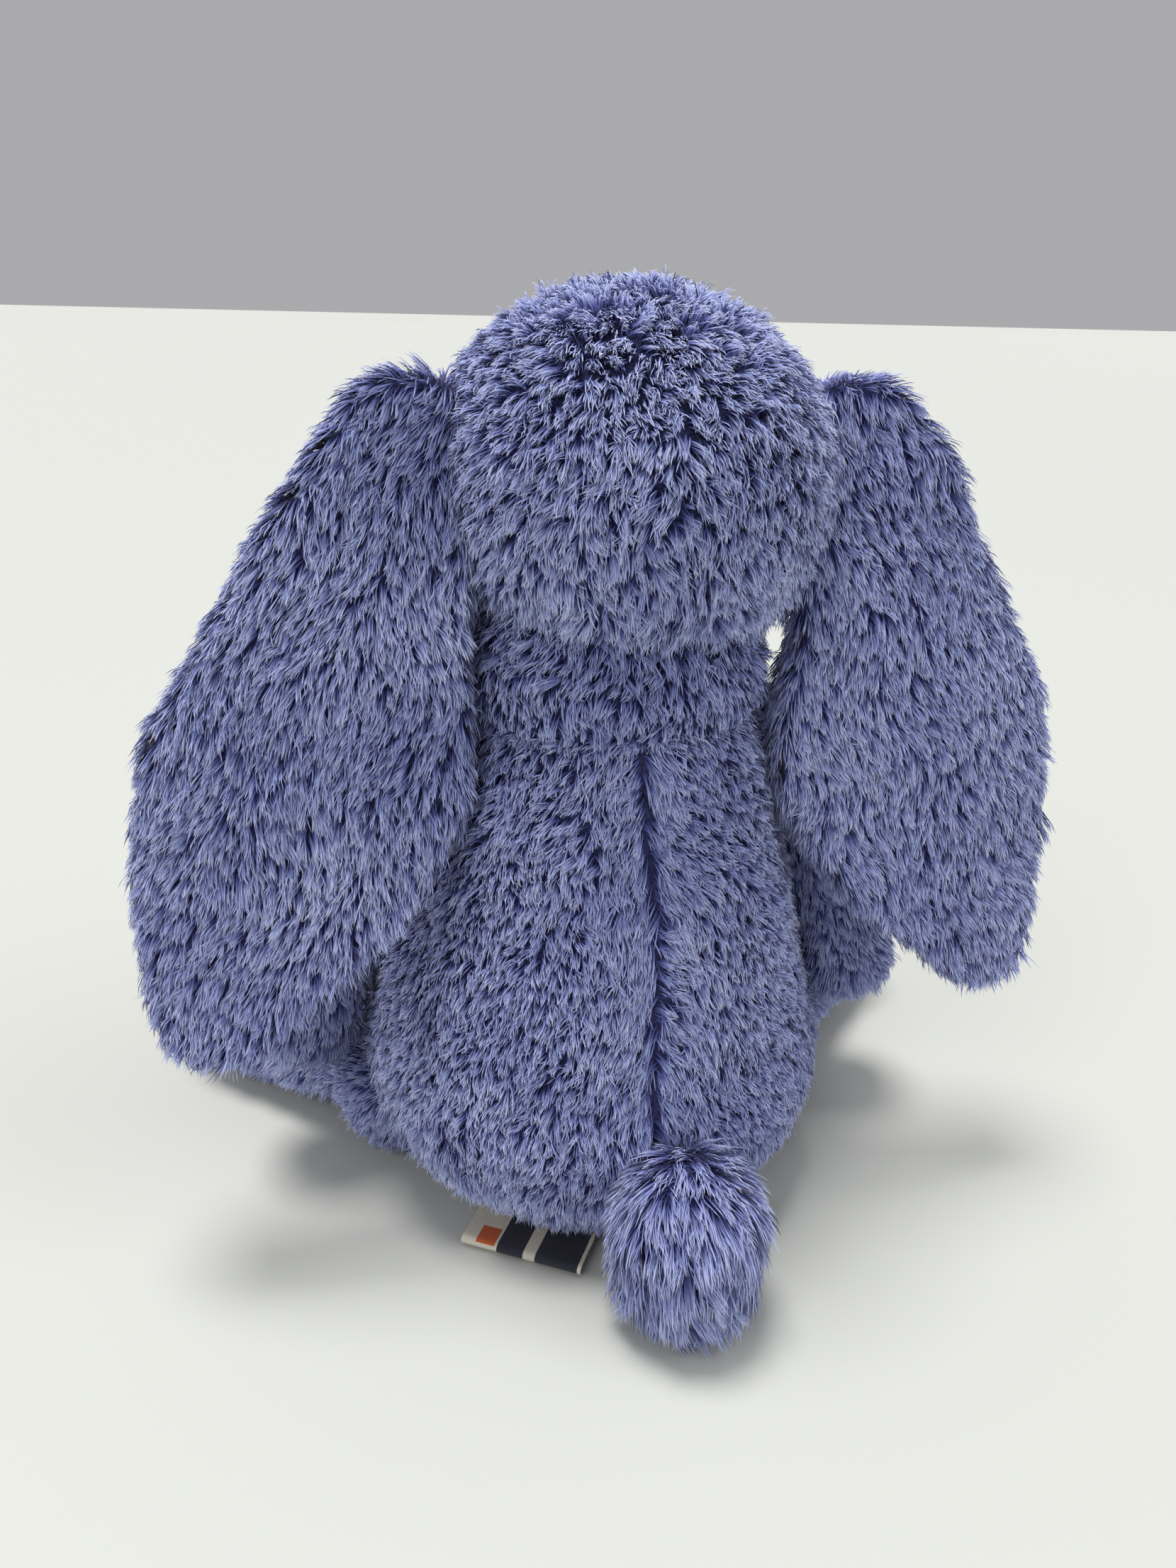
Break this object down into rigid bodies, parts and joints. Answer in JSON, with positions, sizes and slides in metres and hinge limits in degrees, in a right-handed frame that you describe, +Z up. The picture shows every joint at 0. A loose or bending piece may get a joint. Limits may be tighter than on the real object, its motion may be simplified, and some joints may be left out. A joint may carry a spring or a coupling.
{
  "type": "stuffed rabbit",
  "caption": "Sitting stuffed toy rabbit with long hanging ears, floppy arms and legs, a pompon tail and a bean-weighted seat.",
  "frame": {"origin": "middle of the flat seat, on the surface that the toy sits on", "axes": "+Z up, the toy faces -Y, its own left side is +X"},
  "size_m": [0.2447, 0.1776, 0.2449],
  "materials": {
    "plush": "matte",
    "short_pile": "matte",
    "fibre_filling": "matte",
    "eye": "gloss",
    "washer": "satin",
    "nose_cloth": "matte",
    "stitching": "matte",
    "pouch_cloth": "matte",
    "pellets": "satin",
    "label_tape": "satin",
    "label_leaf": "satin"
  },
  "bodies": {
    "torso": {"body_base": "plush", "body_belly": "plush", "body_back_left": "plush", "body_back_right": "plush", "body_stuffing": "fibre_filling", "bean_pouch": "pouch_cloth", "plastic_pellets": "pellets", "sewn_label": "label_tape", "label_leaf": "label_leaf"},
    "neck": {"neck_band": "plush", "neck_stuffing": "fibre_filling"},
    "head": {"head_chin": "plush", "head_gusset": "plush", "head_side_left": "plush", "head_side_right": "plush", "head_stuffing": "fibre_filling", "eye_left": "eye", "eye_right": "eye", "eye_washer_left": "washer", "eye_washer_right": "washer", "nose": "nose_cloth", "mouth_stitching": "stitching"},
    "ear_left": {"ear_left_back": "plush", "ear_left_lining": "short_pile", "ear_left_batting": "fibre_filling"},
    "arm_left": {"arm_left_front": "plush", "arm_left_back": "plush", "arm_left_stuffing": "fibre_filling"},
    "leg_left": {"leg_left_outer": "plush", "leg_left_inner": "plush", "leg_left_stuffing": "fibre_filling", "foot_left_sole": "short_pile"},
    "ear_right": {"ear_right_back": "plush", "ear_right_lining": "short_pile", "ear_right_batting": "fibre_filling"},
    "arm_right": {"arm_right_front": "plush", "arm_right_back": "plush", "arm_right_stuffing": "fibre_filling"},
    "leg_right": {"leg_right_outer": "plush", "leg_right_inner": "plush", "leg_right_stuffing": "fibre_filling", "foot_right_sole": "short_pile"},
    "tail": {"tail_cover": "plush", "tail_stuffing": "fibre_filling"}
  },
  "joints": [
    {"name": "neck_turn", "type": "hinge", "parent": "torso", "child": "neck", "pos_m": [0, 0, 0.153], "axis": [0, 0, 1], "range_deg": [-9, 9]},
    {"name": "head_nod", "type": "hinge", "parent": "neck", "child": "head", "pos_m": [0, 0, 0.153], "axis": [1, 0, 0], "range_deg": [-5, 16]},
    {"name": "ear_left_lift", "type": "hinge", "parent": "head", "child": "ear_left", "pos_m": [0.0555, 0.013, 0.21], "axis": [0, -0.9903, -0.1392], "range_deg": [0, 110]},
    {"name": "ear_right_lift", "type": "hinge", "parent": "head", "child": "ear_right", "pos_m": [-0.0655, 0.013, 0.21], "axis": [0, 0.9903, 0.1392], "range_deg": [0, 110]},
    {"name": "arm_left_raise", "type": "hinge", "parent": "torso", "child": "arm_left", "pos_m": [0.0535, -0.016, 0.126], "axis": [0, -1, 0], "range_deg": [0, 60]},
    {"name": "arm_right_raise", "type": "hinge", "parent": "torso", "child": "arm_right", "pos_m": [-0.0535, -0.016, 0.126], "axis": [0, 1, 0], "range_deg": [0, 60]},
    {"name": "leg_left_swing", "type": "hinge", "parent": "torso", "child": "leg_left", "pos_m": [0.057, -0.012, 0.0205], "axis": [-1, 0, 0], "range_deg": [-25, 15]},
    {"name": "leg_right_swing", "type": "hinge", "parent": "torso", "child": "leg_right", "pos_m": [-0.057, -0.012, 0.0205], "axis": [-1, 0, 0], "range_deg": [-25, 15]},
    {"name": "tail_lift", "type": "hinge", "parent": "torso", "child": "tail", "pos_m": [-0.004, 0.06, 0.044], "axis": [1, 0, 0], "range_deg": [0, 30]}
  ]
}
